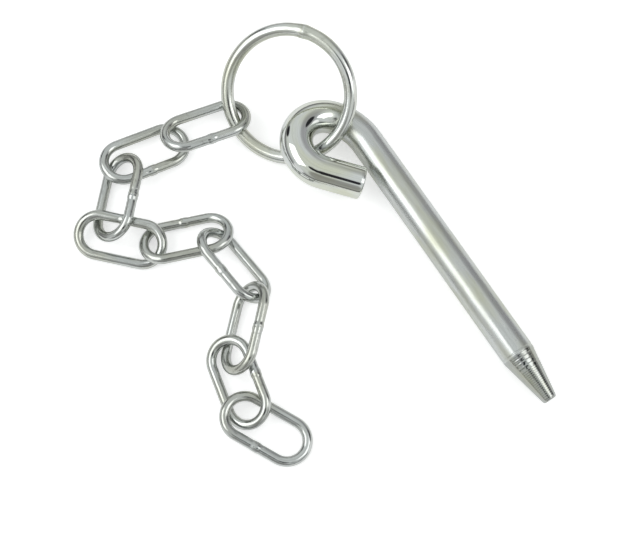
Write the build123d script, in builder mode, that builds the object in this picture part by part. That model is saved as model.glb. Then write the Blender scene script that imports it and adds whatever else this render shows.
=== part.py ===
from build123d import *
import math
import os
import numpy as np

# Round steel pin with a curled eye, a welded ring through the eye and a chain of welded long links.
# The frame: X runs along the shank to the point, Z is up, the origin is on the shank's axis in the
# middle of the stretch that is free to go through a hole.  All of it lies on a floor that touches
# the underside of the shank.

# Pin, in millimetres
bar_d = 10.0  # round bar
straight = 78.6  # parallel shank, bend to shoulder
tail_reach = 19.0  # how much of the shank the curled end stands beside
point_len = 15.6  # turned taper
point_d = 4.2  # flat end of the taper
point_edge = 0.5  # broken edge of the flat end
groove_w = 0.5  # shallow rings turned at the shoulder and along the taper
groove_deep = 0.12
taper_grooves = 4
groove_pitch = 1.15
lead_r = 16.2  # easy bend out of the shank
lead_turn = 42.7
eye_r = 9.9  # tight bend of the eye, to the bar's middle
eye_turn = 183.0
tail_len = 12.2  # straight end of the bar past the eye
tail_edge = 0.7
eye_lift = 17.0  # the eye lies over the ring, so the pin is rolled by this

# Ring
ring_wire = 4.0
ring_inside = 34.3
ring_weld = 0.2  # how far the weld stands up
ring_weld_half = 1.9
ring_weld_at = 129.0  # round the ring from the shank's direction
ring_away = 26.6  # ring's middle from the bend
ring_bearing = -150.0
ring_tilt = 30.0
ring_low_side = -62.8

# Chain link
wire = 3.0
link_inside_l = 22.5
link_inside_w = 9.0
weld_up = 0.28
weld_half = 1.7
slack = 0.12  # daylight left between pieces that rest on each other

# How the links lie, read from the photograph: step from the middle of the piece before, in inside
# lengths of a link, bearing of that step, heading of the link, lean to the side, dip of the far
# end, and the side its weld is on.
lay = [
    (1.158, -106.8, -99.4, 35, 0, 1),
    (0.896, -99.6, -94.6, 0, 0, 1),
    (0.717, -59.5, -36.4, 33, 0, 1),
    (0.571, -28.6, 38.7, 14, 0, 1),
    (0.873, 57.4, 71.4, -25, 0, 1),
    (0.749, 25.6, 11.3, -40, 0, -1),
    (0.856, -22.5, -50.5, 50, 0, 1),
    (0.693, -39.5, -16.0, 15, 6, 1),
    (0.689, -1.9, 30.7, 0, 9, -1),
]

bar_r = bar_d / 2
wire_r = wire / 2
ring_r = (ring_inside + ring_wire) / 2
bow_r = (link_inside_w + wire) / 2
bow_off = (link_inside_l - link_inside_w) / 2
floor_z = -bar_r
bend_x = -(tail_reach + straight) / 2


def turn(v):
    # rotation matrix for a small or large turn vector
    a = float(np.linalg.norm(v))
    if a < 1e-12:
        return np.eye(3)
    x, y, z = np.asarray(v) / a
    k = np.array([[0, -z, y], [z, 0, -x], [-y, x, 0]])
    return np.eye(3) + math.sin(a) * k + (1 - math.cos(a)) * (k @ k)


def facing(heading, lean, dip):
    # a piece's own axes: X along its heading, leaning about X, far end dipped
    head = turn([0, 0, math.radians(heading)])
    return head @ turn([0, math.radians(dip), 0]) @ turn([math.radians(lean), 0, 0])


def link_line(count=56):
    # points and directions round the middle of a link's wire
    sides = 2 * bow_off
    half = math.pi * bow_r
    points = []
    ways = []
    for q in (np.arange(count) + 0.5) * 2 * (sides + half) / count:
        sign = 1 if q < sides + half else -1
        q = q % (sides + half)
        if q < sides:
            p = (bow_off - q, bow_r)
            w = (-1, 0)
        else:
            a = math.pi / 2 + (q - sides) / bow_r
            p = (-bow_off + bow_r * math.cos(a), bow_r * math.sin(a))
            w = (-math.sin(a), math.cos(a))
        points.append((sign * p[0], sign * p[1], 0))
        ways.append((sign * w[0], sign * w[1], 0))
    return np.array(points), np.array(ways)


def ring_line(count=72):
    a = np.arange(count) * 2 * math.pi / count
    o = 0 * a
    return (
        np.stack([ring_r * np.cos(a), ring_r * np.sin(a), o], -1),
        np.stack([-np.sin(a), np.cos(a), o], -1),
    )


def eye_line(step=0.8):
    # the bar's middle from the near end of the shank round the eye to its cut end
    points = [(x, 0, 0) for x in np.arange(14, -0.1, -step)]
    ways = [(-1, 0, 0)] * len(points)
    x = 0.0
    y = 0.0
    h = math.pi
    for r, degrees in ((lead_r, lead_turn), (eye_r, eye_turn)):
        n = math.ceil(r * math.radians(degrees) / step)
        d = math.radians(degrees) / n
        for _ in range(n):
            chord = 2 * r * math.sin(d / 2)
            x += chord * math.cos(h + d / 2)
            y += chord * math.sin(h + d / 2)
            h += d
            points.append((x, y, 0))
            ways.append((math.cos(h), math.sin(h), 0))
    n = math.ceil(tail_len / step)
    for k in range(1, n + 1):
        s = tail_len * k / n
        points.append((x + s * math.cos(h), y + s * math.sin(h), 0))
        ways.append((math.cos(h), math.sin(h), 0))
    return np.array(points), np.array(ways)


class Loop:
    # a bent wire as points along its middle, free to settle or held
    def __init__(self, line, radius, at, axes, held=False, weld=None):
        self.line, self.ways = line
        self.radius = np.full(len(self.line), radius)
        if weld:
            spot, half, height = weld
            off = np.linalg.norm(self.line - np.array(spot), axis=1) / half
            self.radius += height * np.maximum(1 - off**2, 0)
        self.at = np.array(at, float)
        self.home = self.at.copy()
        self.axes = axes
        self.held = held
        span = float(np.mean(np.sum(self.line**2, axis=1)))
        side = 0.0 if held else 0.15
        up = 0.0 if held else 1.0
        self.give = np.array([side, side, up])
        self.spin = np.array([up, up, side]) * 2.56 / span
        self.fresh()

    def fresh(self):
        self.points = self.line @ self.axes.T + self.at
        self.along = self.ways @ self.axes.T

    def ease(self, point, normal):
        arm = np.cross(point - self.at, normal)
        return float(np.sum(self.give * normal**2) + np.sum(self.spin * arm**2))

    def shift(self, point, normal, amount):
        arm = np.cross(point - self.at, normal)
        self.at = self.at + self.give * normal * amount
        self.axes = turn(self.spin * arm * amount) @ self.axes
        self.fresh()


def daylight(a, b):
    # gap between two wires, with the nearest points and the way from b to a
    far = np.sqrt(np.sum((a.points[:, None, :] - b.points[None, :, :]) ** 2, axis=-1))
    far = far - a.radius[:, None] - b.radius[None, :]
    i, j = np.unravel_index(far.argmin(), far.shape)
    p = a.points[i]
    q = b.points[j]
    u = a.along[i]
    v = b.along[j]
    c = float(u @ v)
    w = p - q
    if 1 - c * c > 0.02:
        s = (c * (v @ w) - (u @ w)) / (1 - c * c)
        t = ((v @ w) - c * (u @ w)) / (1 - c * c)
        p = p + float(np.clip(s, -0.7, 0.7)) * u
        q = q + float(np.clip(t, -0.7, 0.7)) * v
    d = p - q
    length = float(np.linalg.norm(d))
    return length - a.radius[i] - b.radius[j], p, q, d / length


def settle(loops, pairs, rounds=650, drop=0.05):
    # lower every free piece a little at a time until it rests on the floor and its neighbours
    up = np.array([0, 0, 1.0])
    for n in range(rounds):
        falling = n < 0.9 * rounds
        for a in loops:
            if falling and not a.held:
                a.at[2] -= drop * (1 - n / rounds) ** 1.5
                a.at[:2] += 0.05 * (a.home[:2] - a.at[:2])
                a.fresh()
        for _ in range(2):
            for a, b in pairs:
                gap, p, q, way = daylight(a, b)
                if gap < slack:
                    amount = (slack - gap) / (a.ease(p, way) + b.ease(q, way))
                    a.shift(p, way, amount)
                    b.shift(q, -way, amount)
            for a in loops:
                for _ in range(0 if a.held else 2):
                    k = (a.points[:, 2] - a.radius).argmin()
                    sunk = floor_z + a.radius[k] - a.points[k, 2]
                    if sunk > 0:
                        a.shift(a.points[k], up, sunk / a.ease(a.points[k], up))


rolled = turn([-math.radians(eye_lift), 0, 0])
eye = Loop(eye_line(), bar_r, (bend_x, 0, 0), rolled, held=True)
ring_at = (
    bend_x + ring_away * math.cos(math.radians(ring_bearing)),
    ring_away * math.sin(math.radians(ring_bearing)),
    floor_z + ring_wire / 2 + ring_r * math.sin(math.radians(ring_tilt)),
)
low = math.radians(ring_low_side)
ring_axes = turn(math.radians(ring_tilt) * np.array([-math.sin(low), math.cos(low), 0]))
loops = [eye, Loop(ring_line(), ring_wire / 2, ring_at, ring_axes)]
x, y, z = ring_at
for step, bearing, heading, lean, dip, side in lay:
    x += step * link_inside_l * math.cos(math.radians(bearing))
    y += step * link_inside_l * math.sin(math.radians(bearing))
    rise = wire_r + bow_r * math.sin(math.radians(abs(lean))) + bow_off * math.sin(math.radians(dip)) + 0.4
    weld = ((0, side * bow_r, 0), 1.4 * weld_half, 1.3 * weld_up)
    at = (x, y, floor_z + rise)
    loops.append(Loop(link_line(), wire_r, at, facing(heading, lean, dip), weld=weld))
pairs = [(loops[k], loops[k + 1]) for k in range(len(loops) - 1)]
pairs += [(loops[k], loops[k + 2]) for k in range(2, len(loops) - 2)]
settle(loops, pairs)


def plane_of(loop):
    return Plane(origin=tuple(loop.at), x_dir=tuple(loop.axes[:, 0]), z_dir=tuple(loop.axes[:, 2]))


def out(part, name):
    part.label = name
    export_step(part, f"parts/{name}.step")


os.makedirs("parts", exist_ok=True)

# Pin: shank and point turned about X, then the bend swept in the rolled plane
flat = Plane(origin=(bend_x, 0, 0), x_dir=(1, 0, 0), z_dir=tuple(rolled[:, 2]))
shoulder = bend_x + straight
tip_x = shoulder + point_len
fall = (bar_r - point_d / 2) / point_len
turned = [
    (shoulder - 2 * groove_w, bar_r),
    (shoulder - 1.5 * groove_w, bar_r - groove_deep),
    (shoulder - groove_w, bar_r),
    (shoulder, bar_r),
]
for k in range(taper_grooves):
    for off, deep in ((-groove_w / 2, 0), (0, groove_deep), (groove_w / 2, 0)):
        past = (k + 1) * groove_pitch + off
        turned.append((shoulder + past, bar_r - fall * past - deep))
turned.append((tip_x - point_edge, point_d / 2 + fall * point_edge))
with BuildPart() as pin:
    with BuildSketch(Plane.XZ):
        with BuildLine():
            Polyline((bend_x, 0), (bend_x, bar_r), *turned, (tip_x, point_d / 2 - point_edge), (tip_x, 0), (bend_x, 0))
        make_face()
    revolve(axis=Axis.X)
    with BuildLine(flat) as bend:
        lead = JernArc((0, 0), (-1, 0), lead_r, lead_turn)
        curl = JernArc(lead @ 1, lead % 1, eye_r, eye_turn)
        tail = Line(curl @ 1, curl @ 1 + (curl % 1) * tail_len)
    with BuildSketch(Plane.YZ.offset(bend_x)):
        Circle(bar_r)
    sweep(path=bend.wire())
    tail_face = pin.faces().filter_by(GeomType.PLANE).sort_by_distance(tail @ 1)[0]
    chamfer(tail_face.edges(), tail_edge)
out(pin.part, "pin")

# Ring: one round of wire with a low weld
ring_plane = plane_of(loops[1])
weld_way = ring_plane.x_dir.rotate(Axis(ring_plane.origin, ring_plane.z_dir), ring_weld_at)
with BuildPart() as ring:
    with BuildSketch(Plane(ring_plane.origin, x_dir=ring_plane.x_dir, z_dir=-ring_plane.y_dir)):
        with Locations((ring_r, 0)):
            Circle(ring_wire / 2)
    revolve(axis=Axis(ring_plane.origin, ring_plane.z_dir))
    weld_plane = Plane(ring_plane.origin + weld_way * ring_r, x_dir=ring_plane.z_dir.cross(weld_way), z_dir=ring_plane.z_dir)
    with BuildSketch(weld_plane):
        with BuildLine():
            y1 = ring_wire / 2 - ring_weld / 2
            y2 = ring_wire / 2 + ring_weld
            ThreePointArc((-ring_weld_half, y1), (0, y2), (ring_weld_half, y1))
            Polyline((ring_weld_half, y1), (ring_weld_half, 0), (-ring_weld_half, 0), (-ring_weld_half, y1))
        make_face()
    revolve(axis=Axis(weld_plane.origin, weld_plane.x_dir))
out(ring.part, "ring")

# Chain links: sides and bows swept in one round, with a bead where the wire was welded
for k, loop in enumerate(loops[2:], start=1):
    face_plane = plane_of(loop)
    side = lay[k - 1][5]
    with BuildPart() as link:
        with BuildLine(face_plane) as course:
            a = Line((0, bow_r), (bow_off, bow_r))
            b = ThreePointArc((bow_off, bow_r), (bow_off + bow_r, 0), (bow_off, -bow_r))
            c = Line((bow_off, -bow_r), (-bow_off, -bow_r))
            d = ThreePointArc((-bow_off, -bow_r), (-bow_off - bow_r, 0), (-bow_off, bow_r))
            e = Line((-bow_off, bow_r), (0, bow_r))
        with BuildSketch(Plane(a @ 0, x_dir=face_plane.y_dir, z_dir=face_plane.x_dir)):
            Circle(wire_r)
        sweep(path=course.wire())
        with BuildSketch(face_plane):
            with BuildLine():
                y0 = side * bow_r
                y1 = y0 + wire_r - 0.05
                y2 = y0 + wire_r + weld_up
                ThreePointArc((-weld_half, y1), (0, y2), (weld_half, y1))
                Polyline((weld_half, y1), (weld_half, y0), (-weld_half, y0), (-weld_half, y1))
            make_face()
        middle = face_plane.from_local_coords((0, side * bow_r, 0))
        revolve(axis=Axis(middle, face_plane.x_dir))
    out(link.part, f"chain_link_{k}")
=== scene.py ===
import math
import bpy
import numpy as np
from mathutils import Matrix, Vector, noise


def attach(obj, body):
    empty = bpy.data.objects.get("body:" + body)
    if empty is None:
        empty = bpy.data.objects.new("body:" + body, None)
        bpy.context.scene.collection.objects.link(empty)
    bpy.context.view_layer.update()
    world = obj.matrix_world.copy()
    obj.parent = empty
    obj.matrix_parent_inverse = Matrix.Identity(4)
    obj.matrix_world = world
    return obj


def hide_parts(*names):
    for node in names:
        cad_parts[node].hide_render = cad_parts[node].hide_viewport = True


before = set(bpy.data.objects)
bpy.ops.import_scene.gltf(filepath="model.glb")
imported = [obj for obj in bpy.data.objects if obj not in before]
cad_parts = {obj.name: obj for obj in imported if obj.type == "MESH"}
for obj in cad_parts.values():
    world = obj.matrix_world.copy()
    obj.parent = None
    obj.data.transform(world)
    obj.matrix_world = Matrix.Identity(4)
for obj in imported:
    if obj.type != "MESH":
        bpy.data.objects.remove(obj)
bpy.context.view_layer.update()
mm = 0.001  # Blender is in metres, the sizes below are in mm, and the angles in degrees
print("loaded", len(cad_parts), "nodes")


def axesFromMesh(node):
    # own axes of a bent wire, longest first, from the area of its faces, and its points along them
    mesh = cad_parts[node].data
    mesh.calc_loop_triangles()
    points = np.array([v.co for v in mesh.vertices])
    tris = points[np.array([t.vertices for t in mesh.loop_triangles])]
    area = np.linalg.norm(np.cross(tris[:, 1] - tris[:, 0], tris[:, 2] - tris[:, 0]), axis=1)
    mids = tris.mean(axis=1)
    centre = (mids * area[:, None]).sum(axis=0) / area.sum()
    off = mids - centre
    ways = np.linalg.eigh((off * area[:, None]).T @ off / area.sum())[1]
    x, z = ways[:, 2], ways[:, 0]
    if z[2] < 0:
        z = -z
    y = np.cross(z, x)
    local = (points - centre) @ np.array([x, y, z]).T
    middle = (local.max(axis=0) + local.min(axis=0)) / 2
    return centre, np.array([x, y, z]), local, middle


meshLook = {"uvLength": 120.0, "sharpAngle": 38.0}  # wire that one width of the UV map takes


def uvAcross(v, corners, around):
    # place round the wire, where the last face of each turn ends at 1 and not at 0
    j = v % around
    wraps = any(c % around == around - 1 for c in corners)
    return around if j == 0 and wraps and len(corners) == 4 else j


def sweptMesh(name, stations, around=48, closed=False):
    # a station is a middle point, two directions across the wire, a radius and the distance run
    verts, lays, faces = [], [], []
    for at, across, up, radius, run in stations:
        for j in range(around):
            a = 2 * math.pi * j / around
            r = radius(a) if callable(radius) else radius
            verts.append(at + across * (r * math.cos(a)) + up * (r * math.sin(a)))
            lays.append((run, r * math.cos(a), r * math.sin(a)))
    count = len(stations)
    for k in range(count if closed else count - 1):
        m = (k + 1) % count
        for j in range(around):
            i = (j + 1) % around
            faces.append((k * around + j, m * around + j, m * around + i, k * around + i))
    if not closed:
        faces.append(tuple(range(around)))
        faces.append(tuple((count - 1) * around + j for j in reversed(range(around))))
    mesh = bpy.data.meshes.new(name)
    mesh.from_pydata([tuple(v) for v in verts], [], faces)
    mesh.update()
    layer = mesh.attributes.new("wireLay", "FLOAT_VECTOR", "POINT")
    layer.data.foreach_set("vector", np.array(lays, dtype=np.float32).ravel())
    uv = mesh.uv_layers.new(name="UVMap")
    for poly in mesh.polygons:
        corners = list(poly.vertices)
        for loopIndex, v in zip(poly.loop_indices, corners):
            across = uvAcross(v, corners, around) / around
            uv.data[loopIndex].uv = (lays[v][0] / (meshLook["uvLength"] * mm), across)
    mesh.shade_smooth()
    mesh.set_sharp_from_angle(angle=math.radians(meshLook["sharpAngle"]))
    piece = bpy.data.objects.new(name, mesh)
    bpy.context.scene.collection.objects.link(piece)
    return piece


# pin: the bent bar, its turned point and its cut end
pinLook = {
    "barRadius": 5.0, "straight": 78.6, "tailReach": 19.0,
    "pointLength": 15.6, "pointRadius": 2.1, "pointEdge": 0.5, "pointSteps": 150,
    "grooveDeep": 0.05, "grooveWidth": 0.7, "groovePitch": 1.15, "grooves": 4,
    "shoulderStep": [(0.25, 0.055), (0.0, 0.015), (-0.3, 0.0)],  # mm past the shoulder, mm cut away
    "shoulderRing": [(-0.5, 0.0), (-0.62, 0.1), (-0.8, 0.12), (-0.92, 0.0)],
    "shankFrom": 1.0, "shankSteps": 40,
    "leadRadius": 16.2, "leadTurn": 42.7, "leadSteps": 22,
    "eyeRadius": 9.9, "eyeTurn": 183.0, "eyeSteps": 96,
    "tailLength": 12.2, "tailEdge": 0.7, "tailSteps": 12, "eyeLift": 17.0,
    "edgeSteps": 6, "endRadius": 0.02, "around": 144,
}


def turnedProfile(p, shoulder, tip):
    # place along the straight bar and radius there, from the tip back to the first bend
    edge = p["pointEdge"]
    profile = [(tip, p["endRadius"]), (tip, p["pointRadius"] - edge)]
    for k in range(p["edgeSteps"] + 1):  # rounded end of the taper
        a = math.radians(90 * k / p["edgeSteps"])
        back = edge * (1 - math.cos(a))
        profile.append((tip - back, p["pointRadius"] - edge * (1 - math.sin(a))))
    slope = (p["barRadius"] - p["pointRadius"]) / p["pointLength"]
    for k in range(1, p["pointSteps"]):
        x = tip - edge - (p["pointLength"] - edge) * k / p["pointSteps"]
        past = x - shoulder
        turn = min(round(past / p["groovePitch"]), p["grooves"])
        off = abs(past - turn * p["groovePitch"]) / (p["grooveWidth"] / 2)
        dip = p["grooveDeep"] * max(1 - off, 0) if turn > 0 else 0  # shallow ring left by the tool
        profile.append((x, p["pointRadius"] + slope * (tip - x) - dip))
    for past, cut in p["shoulderStep"] + p["shoulderRing"]:
        profile.append((shoulder + past, p["barRadius"] - cut))
    for k in range(1, p["shankSteps"]):
        x = shoulder - p["shankFrom"] - (p["straight"] - p["shankFrom"]) * k / p["shankSteps"]
        profile.append((x, p["barRadius"]))
    return profile


def tailProfile(p):
    # distance past the eye's bend and radius there, out to the cut end
    profile = []
    for k in range(1, p["tailSteps"] + 1):
        along = k / p["tailSteps"] * (p["tailLength"] - p["tailEdge"])
        profile.append((along, p["barRadius"]))
    for k in range(1, p["edgeSteps"] + 1):  # rounded edge of the cut end
        a = math.radians(90 * k / p["edgeSteps"])
        along = p["tailLength"] - p["tailEdge"] * (1 - math.sin(a))
        profile.append((along, p["barRadius"] - p["tailEdge"] * (1 - math.cos(a))))
    profile.append((profile[-1][0], p["endRadius"]))
    return profile


def pinStations():
    p = pinLook
    roll = Matrix.Rotation(-math.radians(p["eyeLift"]), 3, "X")
    up = np.array(roll @ Vector((0, 0, 1)))
    side = np.array(roll @ Vector((0, 1, 0)))
    ahead = np.array([1, 0, 0])
    start = -(p["tailReach"] + p["straight"]) / 2
    shoulder, tip = start + p["straight"], start + p["straight"] + p["pointLength"]
    out = []
    for x, r in turnedProfile(p, shoulder, tip):
        out.append((ahead * x * mm, -side, up, r * mm, (tip - x) * mm))
    x, y, h, run = start, 0.0, math.pi, tip - start

    def place(r):
        across = ahead * math.sin(h) - side * math.cos(h)  # right-hand side of the way the bar runs
        at = ahead * x + side * y
        out.append((at * mm, -across, up, r * mm, run * mm))

    place(p["barRadius"])
    lead = (p["leadRadius"], p["leadTurn"], p["leadSteps"])
    eye = (p["eyeRadius"], p["eyeTurn"], p["eyeSteps"])
    for radius, degrees, n in (lead, eye):
        d = math.radians(degrees) / n
        for _ in range(n):
            chord = 2 * radius * math.sin(d / 2)
            x += chord * math.cos(h + d / 2)
            y += chord * math.sin(h + d / 2)
            h += d
            run += radius * d
            place(p["barRadius"])
    ex, ey, er = x, y, run
    for s, r in tailProfile(p):
        x, y, run = ex + s * math.cos(h), ey + s * math.sin(h), er + s
        place(r)
    return out


pinPiece = sweptMesh("pinBar", pinStations(), around=pinLook["around"])
print("pin", len(pinPiece.data.vertices), "vertices")

# ring: round wire with a low, rough weld
ringLook = {
    "wireRadius": 2.0, "middleRadius": 19.15, "weldUp": 0.2, "weldHalf": 1.5, "steps": 240, "around": 48,
}


def ringStations():
    p = ringLook
    centre, axes, local, middle = axesFromMesh("ring")
    at = centre + middle @ axes
    flat = local[:, :2] - middle[:2]
    sideways = np.hypot(flat[:, 0], flat[:, 1]) - p["middleRadius"] * mm
    far = np.hypot(sideways, local[:, 2] - middle[2]).argmax()
    weld = math.atan2(flat[far, 1], flat[far, 0])  # the bead stands furthest off the wire
    out = []
    for k in range(p["steps"]):
        a = 2 * math.pi * k / p["steps"]
        outward = axes[0] * math.cos(a) + axes[1] * math.sin(a)
        off = math.remainder(a - weld, 2 * math.pi) * p["middleRadius"]
        lump = p["weldUp"] * math.exp(-((off / p["weldHalf"]) ** 2))
        run = (a - weld) % (2 * math.pi) * p["middleRadius"] * mm
        point = at + outward * p["middleRadius"] * mm
        out.append((point, outward, axes[2], (p["wireRadius"] + lump) * mm, run))
    return out


ringPiece = sweptMesh("ringWire", ringStations(), around=ringLook["around"], closed=True)
print("ring", len(ringPiece.data.vertices), "vertices")

# chain: nine links, each with a bead where its wire was welded
linkLook = {
    "count": 9, "wireRadius": 1.5, "bowRadius": 6.0, "bowOff": 6.75, "steps": 200, "around": 36,
    "beadUp": 0.15, "beadHalf": 1.05, "beadPower": 8, "beadEven": 0.8,  # a flat-topped bead
    "dipDeep": 0.06, "dipAt": 1.6, "dipHalf": 0.45, "dipEven": 0.5,  # a dip at each side of it
    "lumpShare": 0.5, "lumpRound": 1.4, "lumpPace": 1.3, "lumpShift": 7,  # how uneven both are
    "grainShift": 11.3,  # moves the finish on, so that no two links are alike
    "bowPast": 1.0,  # how far past a bow's centre the points lie that find the link's middle
}


def linkLength(p):
    return 2 * (2 * p["bowOff"] + math.pi * p["bowRadius"])


def linkOutline(p, s):
    # place and outward way on the middle line, s on from the middle of the welded side
    off, r, total = p["bowOff"], p["bowRadius"], linkLength(p)
    half = math.pi * r
    if s <= off or s >= total - off:  # the welded side
        return -(s if s <= off else s - total), r, 0.0, 1.0
    if s < off + half:  # the bow after it
        a = math.pi / 2 + (s - off) / r
        return -off + r * math.cos(a), r * math.sin(a), math.cos(a), math.sin(a)
    if s < 3 * off + half:  # the plain side
        return -off + (s - off - half), -r, 0.0, -1.0
    a = -math.pi / 2 + (s - 3 * off - half) / r  # the bow that closes it
    return off + r * math.cos(a), r * math.sin(a), math.cos(a), math.sin(a)


def linkStations(node, seed):
    p = linkLook
    centre, axes, local, middle = axesFromMesh(node)
    ends = local[np.abs(local[:, 0] - middle[0]) > (p["bowOff"] + p["bowPast"]) * mm]
    middle[1] = (ends[:, 1].max() + ends[:, 1].min()) / 2
    local = local - middle
    weldSide = 1 if local[:, 1].max() > -local[:, 1].min() else -1
    at = centre + middle @ axes
    x, y, z = axes[0], axes[1] * weldSide, axes[2] * weldSide
    total = linkLength(p)
    out = []
    for k in range(p["steps"]):
        s = total * k / p["steps"]
        lx, ly, ox, oy = linkOutline(p, s)
        point = at + (x * lx + y * ly) * mm
        outward = x * ox + y * oy
        off = min(s, total - s)
        bead = p["beadUp"] * math.exp(-((off / p["beadHalf"]) ** p["beadPower"]))
        dip = p["dipDeep"] * math.exp(-(((off - p["dipAt"]) / p["dipHalf"]) ** 2))

        def radius(a, bead=bead, dip=dip, pace=s * p["lumpPace"] + seed * p["lumpShift"]):
            place = Vector((pace, math.cos(a) * p["lumpRound"], math.sin(a) * p["lumpRound"]))
            wobble = noise.noise(place) * p["lumpShare"]
            return (p["wireRadius"] + bead * (p["beadEven"] + wobble) - dip * (p["dipEven"] + wobble)) * mm

        out.append((point, outward, z, radius, (s + seed * p["grainShift"]) * mm))
    return out


linkPieces = []
for k in range(1, linkLook["count"] + 1):
    stations = linkStations("chain_link_%d" % k, k)
    linkPieces.append(sweptMesh("chainLink%d" % k, stations, around=linkLook["around"], closed=True))
print("chain", sum(len(o.data.vertices) for o in linkPieces), "vertices")


def nodeGroup(name, inputs, outputs):
    # an input has a starting value, an output the kind of its socket
    group = bpy.data.node_groups.new(name, "ShaderNodeTree")
    for label, value in inputs.items():
        kind = "NodeSocketColor" if isinstance(value, tuple) else "NodeSocketFloat"
        socket = group.interface.new_socket(label, in_out="INPUT", socket_type=kind)
        socket.default_value = value
    for label, kind in outputs.items():
        group.interface.new_socket(label, in_out="OUTPUT", socket_type=kind)
    return group, group.nodes.new("NodeGroupInput"), group.nodes.new("NodeGroupOutput")


def addNode(tree, kind, **settings):
    # a setting is the value of one of the node's sockets, or else one of its own properties
    node = tree.nodes.new(kind)
    for key, value in settings.items():
        if key in node.inputs:
            node.inputs[key].default_value = value
        else:
            setattr(node, key, value)
    return node


def feed(tree, socket, value):
    # a socket takes another node's output, or a plain value
    if isinstance(value, bpy.types.NodeSocket):
        tree.links.new(value, socket)
    else:
        socket.default_value = value


def mathNode(tree, operation, *values, clamp=False):
    node = addNode(tree, "ShaderNodeMath", operation=operation, use_clamp=clamp)
    for socket, value in zip(node.inputs, values):
        feed(tree, socket, value)
    return node.outputs["Value"]


def mixNode(tree, kind, factor, first, second, blend="MIX"):
    node = addNode(tree, "ShaderNodeMix", data_type=kind, blend_type=blend)
    for label, value in (("Factor", factor), ("A", first), ("B", second)):
        feed(tree, node.inputs[label], value)
    return node.outputs["Result"]


def rangeNode(tree, value, low, high, toLow=0.0, toHigh=1.0, curve="LINEAR"):
    node = addNode(tree, "ShaderNodeMapRange", interpolation_type=curve)
    rows = (("Value", value), ("From Min", low), ("From Max", high), ("To Min", toLow), ("To Max", toHigh))
    for label, given in rows:
        feed(tree, node.inputs[label], given)
    return node.outputs["Result"]


def wireLay(tree):
    # distance run along the wire and place across it, in metres
    lay = addNode(tree, "ShaderNodeAttribute", attribute_name="wireLay", attribute_type="GEOMETRY")
    return lay.outputs["Vector"]


def wireRun(tree):
    # distance run along the wire alone
    parts = addNode(tree, "ShaderNodeSeparateXYZ")
    tree.links.new(wireLay(tree), parts.inputs["Vector"])
    return parts.outputs["X"]


def wireNoise(tree, look):
    # scale is the number of lumps in a metre, along the wire and the two ways across it
    stretch = addNode(tree, "ShaderNodeMapping", Scale=look["scale"])
    tree.links.new(wireLay(tree), stretch.inputs["Vector"])
    lumps = addNode(tree, "ShaderNodeTexNoise", Scale=1.0, Detail=look["detail"], Roughness=look["rough"])
    tree.links.new(stretch.outputs["Vector"], lumps.inputs["Vector"])
    return lumps.outputs["Fac"]


# zinc plate: streaks along the wire, soft clouds of tint, specks and fine grain
plateLook = {
    "streaks": {"scale": (90, 1500, 1500), "detail": 5.0, "rough": 0.62},
    "clouds": {"scale": (60, 230, 230), "detail": 4.0, "rough": 0.55},
    "grain": {"scale": (2600, 3400, 3400), "detail": 2.0, "rough": 0.5},
    "spots": {"scale": (420, 900, 900), "detail": 3.0, "rough": 0.5},
    "warm": {"from": 0.42, "to": 0.68},
    "shade": {"from": 0.35, "to": 0.75, "color": (0.4, 0.4, 0.38, 1)},
    "speck": {"from": 0.6, "to": 0.74, "color": (0.3, 0.3, 0.28, 1)},
    "dull": {"from": 0.3, "to": 0.7},
}


def buildZincGroup():
    look = plateLook
    group, given, result = nodeGroup(
        "zincPlate",
        {
            "Tint": (0.8, 0.8, 0.77, 1), "Warm": (0.76, 0.75, 0.66, 1), "Shade": 0.2,
            "Smooth": 0.16, "Dull": 0.34, "Streak": 1.0, "Grain": 1.0, "Specks": 0.2,
        },
        {"Color": "NodeSocketColor", "Roughness": "NodeSocketFloat", "Height": "NodeSocketFloat"},
    )
    given = given.outputs
    streaks, clouds = wireNoise(group, look["streaks"]), wireNoise(group, look["clouds"])
    grain, spots = wireNoise(group, look["grain"]), wireNoise(group, look["spots"])
    warm = rangeNode(group, clouds, look["warm"]["from"], look["warm"]["to"])
    color = mixNode(group, "RGBA", warm, given["Tint"], given["Warm"])
    for lumps, dark, amount in ((streaks, look["shade"], "Shade"), (spots, look["speck"], "Specks")):
        mask = rangeNode(group, lumps, dark["from"], dark["to"])
        share = mathNode(group, "MULTIPLY", mask, given[amount])
        color = mixNode(group, "RGBA", share, color, dark["color"], blend="MULTIPLY")
    dull = look["dull"]
    rough = rangeNode(group, clouds, dull["from"], dull["to"], given["Smooth"], given["Dull"])
    streakHeight = mathNode(group, "MULTIPLY", streaks, given["Streak"])
    height = mathNode(group, "MULTIPLY_ADD", grain, given["Grain"], streakHeight)
    for label, value in (("Color", color), ("Roughness", rough), ("Height", height)):
        group.links.new(value, result.inputs[label])
    return group


def buildStretchGroup():
    # mask of one stretch of the wire, soft at both ends
    group, given, result = nodeGroup(
        "wireStretch", {"Start": 0.0, "End": 1.0, "Soft": 0.001}, {"Mask": "NodeSocketFloat"},
    )
    run, start, end = wireRun(group), given.outputs["Start"], given.outputs["End"]
    steps = []
    for more, less in ((run, start), (end, run)):
        past = mathNode(group, "SUBTRACT", more, less)
        share = mathNode(group, "DIVIDE", past, given.outputs["Soft"])
        steps.append(mathNode(group, "ADD", share, 0.5, clamp=True))  # half way over at the end itself
    group.links.new(mathNode(group, "MULTIPLY", *steps), result.inputs["Mask"])
    return group


zincPlate = buildZincGroup()
wireStretch = buildStretchGroup()


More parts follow.
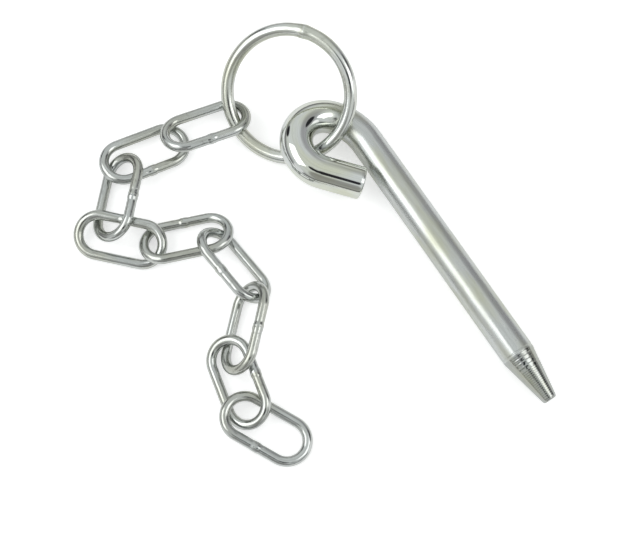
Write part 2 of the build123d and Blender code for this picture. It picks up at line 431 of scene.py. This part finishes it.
def toolRings(tree, part, mask, height):
    # marks of the turning tool round the bar, a little wavy
    waver = addNode(tree, "ShaderNodeTexNoise", Scale=part["ringWaver"], Detail=2.0)
    tree.links.new(wireLay(tree), waver.inputs["Vector"])
    pace = 2 * math.pi / (part["ringPitch"] * mm)
    turns = mathNode(tree, "MULTIPLY_ADD", wireRun(tree), pace, waver.outputs["Fac"])
    cut = mathNode(tree, "MULTIPLY", mathNode(tree, "SINE", turns), mask)
    return mathNode(tree, "MULTIPLY_ADD", cut, part["ringHeight"], height)


def zincMaterial(name, look):
    # whole wire in one finish, then each stretch of it changed in turn
    material = bpy.data.materials.new(name)
    material.use_nodes = True
    tree = material.node_tree
    shader = tree.nodes["Principled BSDF"]
    shader.inputs["Metallic"].default_value = 1.0
    plate = addNode(tree, "ShaderNodeGroup", node_tree=zincPlate)
    for label, value in look["plate"].items():
        plate.inputs[label].default_value = value
    color, rough, height = [plate.outputs[label] for label in ("Color", "Roughness", "Height")]
    for part in look["stretches"]:
        stretch = addNode(tree, "ShaderNodeGroup", node_tree=wireStretch)
        for label, key in (("Start", "start"), ("End", "end"), ("Soft", "soft")):
            stretch.inputs[label].default_value = part[key] * mm
        mask = stretch.outputs["Mask"]
        color = mixNode(tree, "RGBA", mask, color, part["color"], blend="MULTIPLY")
        newRough = mathNode(tree, "MULTIPLY", rough, part["roughTimes"])
        rough = mixNode(tree, "FLOAT", mask, rough, newRough)
        newHeight = mathNode(tree, "MULTIPLY", height, part["heightTimes"])
        height = mixNode(tree, "FLOAT", mask, height, newHeight)
        if "ringPitch" in part:
            height = toolRings(tree, part, mask, height)
    bump = addNode(tree, "ShaderNodeBump", Strength=look["bumpStrength"], Distance=look["bumpDepth"] * mm)
    tree.links.new(color, shader.inputs["Base Color"])
    tree.links.new(rough, shader.inputs["Roughness"])
    tree.links.new(height, bump.inputs["Height"])
    tree.links.new(bump.outputs["Normal"], shader.inputs["Normal"])
    return material


pinFinish = {
    "plate": {
        "Tint": (0.59, 0.61, 0.60, 1), "Warm": (0.56, 0.575, 0.475, 1), "Shade": 0.28,
        "Smooth": 0.23, "Dull": 0.36, "Streak": 0.5, "Grain": 0.25, "Specks": 0.12,
    },
    "bumpStrength": 0.35, "bumpDepth": 0.06,
    "stretches": [  # the turned point, and the polished eye, in mm from the tip
        {
            "start": -1.0, "end": pinLook["pointLength"], "soft": 0.3, "color": (0.78, 0.78, 0.78, 1),
            "roughTimes": 0.45, "heightTimes": 0.6,
            "ringPitch": 0.62, "ringHeight": 0.6, "ringWaver": 900.0,
        },
        {
            "start": 108.0, "end": 200.0, "soft": 8.0, "color": (1.2, 1.2, 1.2, 1),
            "roughTimes": 0.2, "heightTimes": 0.2,
        },
    ],
}
ringFinish = {
    "plate": {
        "Tint": (0.69, 0.71, 0.69, 1), "Warm": (0.62, 0.63, 0.535, 1), "Shade": 0.4,
        "Smooth": 0.1, "Dull": 0.22, "Streak": 0.7, "Grain": 0.3, "Specks": 0.2,
    },
    "bumpStrength": 0.4, "bumpDepth": 0.06,
    "stretches": [  # the dull wire before the weld, and the weld, in mm on from its middle
        {
            "start": 109.0, "end": 130.0, "soft": 3.0, "color": (0.95, 0.95, 0.88, 1),
            "roughTimes": 2.0, "heightTimes": 1.6,
        },
        {
            "start": -1.0, "end": 1.2, "soft": 1.2, "color": (0.85, 0.85, 0.8, 1),
            "roughTimes": 1.6, "heightTimes": 2.5,
        },
    ],
}
chainFinish = {
    "plate": {
        "Tint": (0.58, 0.60, 0.59, 1), "Warm": (0.52, 0.53, 0.475, 1), "Shade": 0.5,
        "Smooth": 0.08, "Dull": 0.21, "Streak": 1.0, "Grain": 0.6, "Specks": 0.35,
    },
    "bumpStrength": 0.35, "bumpDepth": 0.06,
    "stretches": [],
}
pinZinc = zincMaterial("pinZinc", pinFinish)
ringZinc = zincMaterial("ringZinc", ringFinish)
chainZinc = zincMaterial("chainZinc", chainFinish)

pinPiece.data.materials.append(pinZinc)
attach(pinPiece, "pin")
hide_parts("pin")
ringPiece.data.materials.append(ringZinc)
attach(ringPiece, "ring")
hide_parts("ring")
for k, piece in enumerate(linkPieces, start=1):
    piece.data.materials.append(chainZinc)
    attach(piece, "chain_link_%d" % k)
    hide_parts("chain_link_%d" % k)
print("materials and bodies set")

# stage: a pale floor under everything
stageLook = {
    "floorLevel": -5.0, "floorHalf": 2000.0, "floorColor": 0.82,
    "floorSeen": 0.5, "floorMirrored": 0.28,  # its own glow, to the camera and in the metal
}


def buildFloor():
    half, level = stageLook["floorHalf"] * mm, stageLook["floorLevel"] * mm
    corners = [(-half, -half, level), (half, -half, level), (half, half, level), (-half, half, level)]
    mesh = bpy.data.meshes.new("floor")
    mesh.from_pydata(corners, [], [(0, 1, 2, 3)])
    piece = bpy.data.objects.new("floor", mesh)
    bpy.context.scene.collection.objects.link(piece)
    return piece


def floorMaterial():
    material = bpy.data.materials.new("paleFloor")
    material.use_nodes = True
    tree = material.node_tree
    tree.nodes.clear()
    diffuse = addNode(tree, "ShaderNodeBsdfDiffuse", Color=(stageLook["floorColor"],) * 3 + (1,))
    path = addNode(tree, "ShaderNodeLightPath")
    direct = mathNode(tree, "MAXIMUM", path.outputs["Is Camera Ray"], path.outputs["Is Transmission Ray"])
    mirrored = mathNode(tree, "MULTIPLY", path.outputs["Is Glossy Ray"], stageLook["floorMirrored"])
    glow = addNode(tree, "ShaderNodeEmission")
    strength = mathNode(tree, "MULTIPLY_ADD", direct, stageLook["floorSeen"], mirrored)
    tree.links.new(strength, glow.inputs["Strength"])
    both = addNode(tree, "ShaderNodeAddShader")
    tree.links.new(diffuse.outputs["BSDF"], both.inputs[0])
    tree.links.new(glow.outputs["Emission"], both.inputs[1])
    result = addNode(tree, "ShaderNodeOutputMaterial")
    tree.links.new(both.outputs["Shader"], result.inputs["Surface"])
    return material


floorPiece = buildFloor()
floorPiece.data.materials.append(floorMaterial())

tableTurn = 56.93  # degrees from the frame's x to the picture's right-hand side


def skyWay(bearing, offTop):
    # bearing is counted round from the picture's right-hand side, offTop from straight up
    a, z = math.radians(bearing + tableTurn), math.radians(offTop)
    return Vector((math.sin(z) * math.cos(a), math.sin(z) * math.sin(a), math.cos(z)))


# world: a pale tent with dark gaps, two bright cards, and a darker rim low down
darkGap = (0.03, 0.03, 0.035, 1)
worldLook = {
    "tent": (0.80, 0.825, 0.82, 1),
    "low": {"from": 0.06, "to": 0.40, "color": (0.22, 0.22, 0.22, 1)},
    "patches": [  # degrees: where in the tent, how far the colour is full, and where it ends
        {"bearing": 288, "offTop": 31, "core": 8, "edge": 11, "color": darkGap},
        {"bearing": 268, "offTop": 28, "core": 6, "edge": 9, "color": darkGap},
        {"bearing": 251, "offTop": 26, "core": 6, "edge": 9, "color": darkGap},
        {"bearing": 262, "offTop": 60, "core": 14, "edge": 24, "color": (0.38, 0.38, 0.37, 1)},
        {"bearing": 30, "offTop": 68, "core": 20, "edge": 36, "color": (0.44, 0.44, 0.45, 1)},
        {"bearing": 22, "offTop": 62, "core": 9, "edge": 12, "color": darkGap},
        {"bearing": 138, "offTop": 71, "core": 8, "edge": 11, "color": darkGap},
        {"bearing": 355, "offTop": 80, "core": 12, "edge": 15, "color": (1.3, 1.3, 1.3, 1)},
        {"bearing": 215, "offTop": 80, "core": 10, "edge": 15, "color": (0.9, 0.9, 0.9, 1)},
    ],
}


def buildWorld():
    world = bpy.data.worlds.new("studio")
    world.use_nodes = True
    tree = world.node_tree
    tree.nodes.clear()
    way = addNode(tree, "ShaderNodeTexCoord").outputs["Generated"]
    split = addNode(tree, "ShaderNodeSeparateXYZ")
    tree.links.new(way, split.inputs["Vector"])
    low = worldLook["low"]
    rise = rangeNode(tree, split.outputs["Z"], low["from"], low["to"], curve="SMOOTHSTEP")
    color = mixNode(tree, "RGBA", rise, low["color"], worldLook["tent"])
    for patch in worldLook["patches"]:
        facing = addNode(tree, "ShaderNodeVectorMath", operation="DOT_PRODUCT")
        tree.links.new(way, facing.inputs[0])
        facing.inputs[1].default_value = skyWay(patch["bearing"], patch["offTop"])
        edge, core = [math.cos(math.radians(patch[key])) for key in ("edge", "core")]
        inside = rangeNode(tree, facing.outputs["Value"], edge, core, curve="SMOOTHSTEP")
        color = mixNode(tree, "RGBA", inside, color, patch["color"])
    back = addNode(tree, "ShaderNodeBackground")
    tree.links.new(color, back.inputs["Color"])
    result = addNode(tree, "ShaderNodeOutputWorld")
    tree.links.new(back.outputs["Background"], result.inputs["Surface"])
    return world


bpy.context.scene.world = buildWorld()
print("floor and tent set")

# lamps: two soft boxes, left and right of the table, that both face one point on it
lampAim = Vector((-20, -20, 0)) * mm
lampLook = [
    {"name": "leftSoft", "bearing": 182, "offTop": 42, "wide": 500, "tall": 340, "bright": 1.55},
    {"name": "rightSoft", "bearing": 350, "offTop": 40, "wide": 300, "tall": 340, "bright": 1.4},
]
lampAway = 620 * mm
for look in lampLook:
    lamp = bpy.data.lights.new(look["name"], "AREA")
    lamp.shape = "RECTANGLE"
    lamp.size, lamp.size_y = look["wide"] * mm, look["tall"] * mm
    lamp.energy = look["bright"] * math.pi * lamp.size * lamp.size_y  # the box itself looks this bright
    holder = bpy.data.objects.new(look["name"], lamp)
    holder.location = lampAim + skyWay(look["bearing"], look["offTop"]) * lampAway
    holder.rotation_euler = (lampAim - holder.location).to_track_quat("-Z", "Y").to_euler()
    bpy.context.scene.collection.objects.link(holder)

# camera: over the table, leaning a little from the near side
cameraLook = {"at": (59.54, -89.19, 345.32), "tilt": 16.0, "lens": 70.0, "sensor": 36.0, "nearest": 10.0}
camera = bpy.data.cameras.new("camera")
camera.lens = cameraLook["lens"]
camera.sensor_width = cameraLook["sensor"]
camera.clip_start = cameraLook["nearest"] * mm
cameraHolder = bpy.data.objects.new("camera", camera)
cameraHolder.location = Vector(cameraLook["at"]) * mm
cameraHolder.rotation_euler = (math.radians(cameraLook["tilt"]), 0, math.radians(tableTurn))
bpy.context.scene.collection.objects.link(cameraHolder)
bpy.context.scene.camera = cameraHolder
bpy.context.scene.view_settings.view_transform = "Standard"
print("camera and lamps set")
